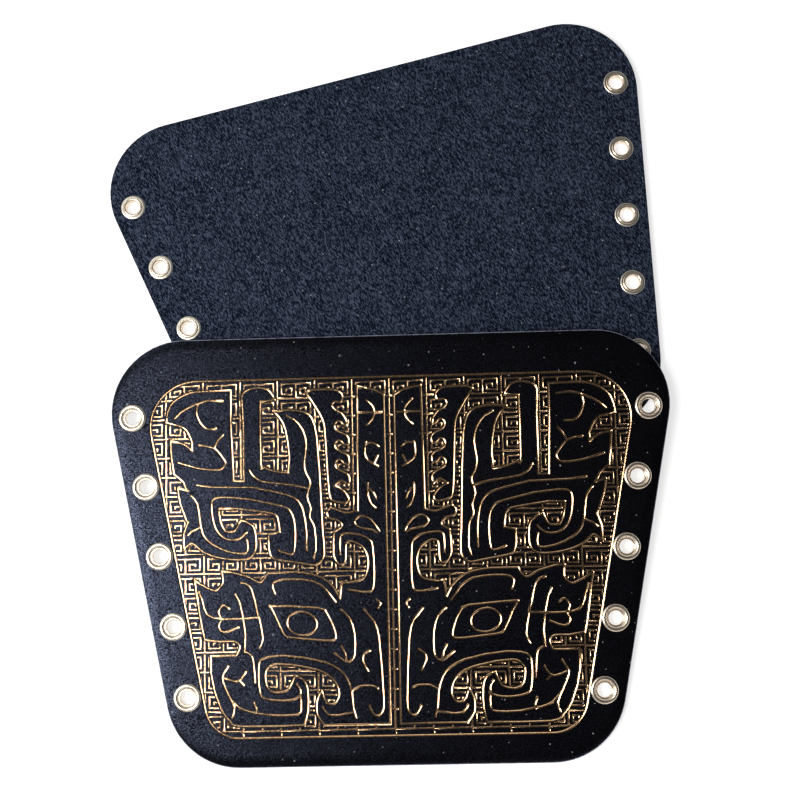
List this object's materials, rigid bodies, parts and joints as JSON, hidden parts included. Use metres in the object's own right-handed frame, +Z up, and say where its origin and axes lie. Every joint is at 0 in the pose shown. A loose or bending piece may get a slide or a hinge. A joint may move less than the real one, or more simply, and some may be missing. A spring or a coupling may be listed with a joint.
{
  "type": "bracer pair",
  "caption": "Pair of flat lace-up leather forearm guards with gilt line ornament, suede lining and metal eyelets, one laid face up over the other face down.",
  "frame": {"origin": "centre of the pair's bounding box, on the surface that the pair lies on", "axes": "+Z up out of the surface, +Y from the upper bracer's narrow edge to its wide edge, +X to its right"},
  "size_m": [0.2462, 0.3272, 0.0092],
  "materials": {
    "grain_leather": "near-black grain leather with a navy cast, satin",
    "suede_lining": "dark navy suede nap, matte",
    "gilt_foil": "antique gold hot foil pressed into the leather",
    "eyelet_metal": "nickel-plated brass, polished",
    "washer_metal": "nickel-plated brass, bright"
  },
  "bodies": {
    "lower_bracer": {"lower_grain_leather": "grain_leather", "lower_suede_lining": "suede_lining", "lower_gilt_figures": "gilt_foil", "lower_eyelet_left_1": "eyelet_metal", "lower_eyelet_left_2": "eyelet_metal", "lower_eyelet_left_3": "eyelet_metal", "lower_eyelet_left_4": "eyelet_metal", "lower_eyelet_left_5": "eyelet_metal", "lower_eyelet_right_1": "eyelet_metal", "lower_eyelet_right_2": "eyelet_metal", "lower_eyelet_right_3": "eyelet_metal", "lower_eyelet_right_4": "eyelet_metal", "lower_eyelet_right_5": "eyelet_metal", "lower_washer_left_1": "washer_metal", "lower_washer_left_2": "washer_metal", "lower_washer_left_3": "washer_metal", "lower_washer_left_4": "washer_metal", "lower_washer_left_5": "washer_metal", "lower_washer_right_1": "washer_metal", "lower_washer_right_2": "washer_metal", "lower_washer_right_3": "washer_metal", "lower_washer_right_4": "washer_metal", "lower_washer_right_5": "washer_metal"},
    "upper_bracer": {"upper_grain_leather": "grain_leather", "upper_suede_lining": "suede_lining", "upper_gilt_figures": "gilt_foil", "upper_gilt_key_ground": "gilt_foil", "upper_eyelet_left_1": "eyelet_metal", "upper_eyelet_left_2": "eyelet_metal", "upper_eyelet_left_3": "eyelet_metal", "upper_eyelet_left_4": "eyelet_metal", "upper_eyelet_left_5": "eyelet_metal", "upper_eyelet_right_1": "eyelet_metal", "upper_eyelet_right_2": "eyelet_metal", "upper_eyelet_right_3": "eyelet_metal", "upper_eyelet_right_4": "eyelet_metal", "upper_eyelet_right_5": "eyelet_metal", "upper_washer_left_1": "washer_metal", "upper_washer_left_2": "washer_metal", "upper_washer_left_3": "washer_metal", "upper_washer_left_4": "washer_metal", "upper_washer_left_5": "washer_metal", "upper_washer_right_1": "washer_metal", "upper_washer_right_2": "washer_metal", "upper_washer_right_3": "washer_metal", "upper_washer_right_4": "washer_metal", "upper_washer_right_5": "washer_metal"}
  },
  "joints": [
    {"name": "upper_lift", "type": "slide", "parent": "lower_bracer", "child": "upper_bracer", "axis": [0, 0, 1], "range_m": [0, 0.06]}
  ]
}
